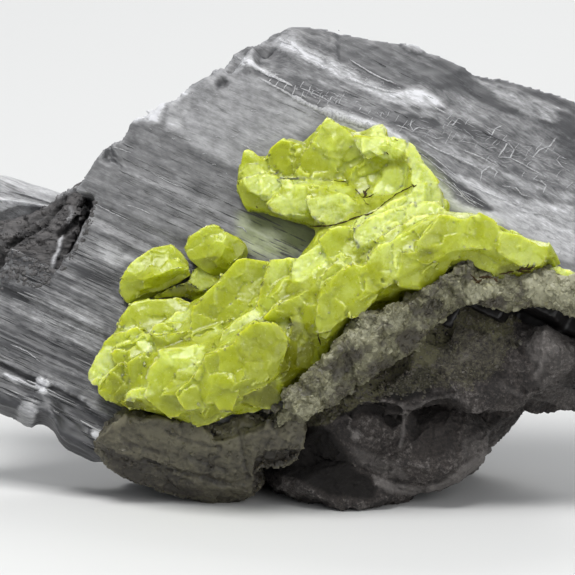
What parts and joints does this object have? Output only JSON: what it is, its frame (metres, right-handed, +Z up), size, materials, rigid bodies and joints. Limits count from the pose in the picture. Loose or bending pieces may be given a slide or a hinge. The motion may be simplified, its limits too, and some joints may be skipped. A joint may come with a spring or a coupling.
{
  "type": "native sulfur crystal specimen",
  "caption": "Translucent yellow sulfur crystals on a leaning blade of fibrous gypsum, with a sugary calcite crust and dark marl below, standing on a flat underside",
  "frame": {"origin": "middle of the bounding box's underside, on the plane the specimen stands on", "axes": "+Z up, +X along the blade from its broken left end to its right end as seen facing the sulfur, -Y towards whoever faces the sulfur"},
  "size_m": [0.0814, 0.04, 0.0486],
  "materials": {
    "gypsum": "pearly, fibrous and translucent",
    "cloudy_gypsum": "cloudy and translucent",
    "sulfur": "resinous and translucent",
    "calcite": "sugary",
    "marl": "dull",
    "shale": "dull"
  },
  "bodies": {
    "root": {"gypsum_blade": "gypsum", "gypsum_rear_blade": "gypsum", "gypsum_foot": "cloudy_gypsum", "sulfur_mass": "sulfur", "sulfur_left_crystal": "sulfur", "sulfur_upper_crystal": "sulfur", "sulfur_gap_crystal": "sulfur", "sulfur_right_chip": "sulfur", "calcite_crust": "calcite", "marl_matrix": "marl", "shale_wedge": "shale"}
  },
  "joints": []
}
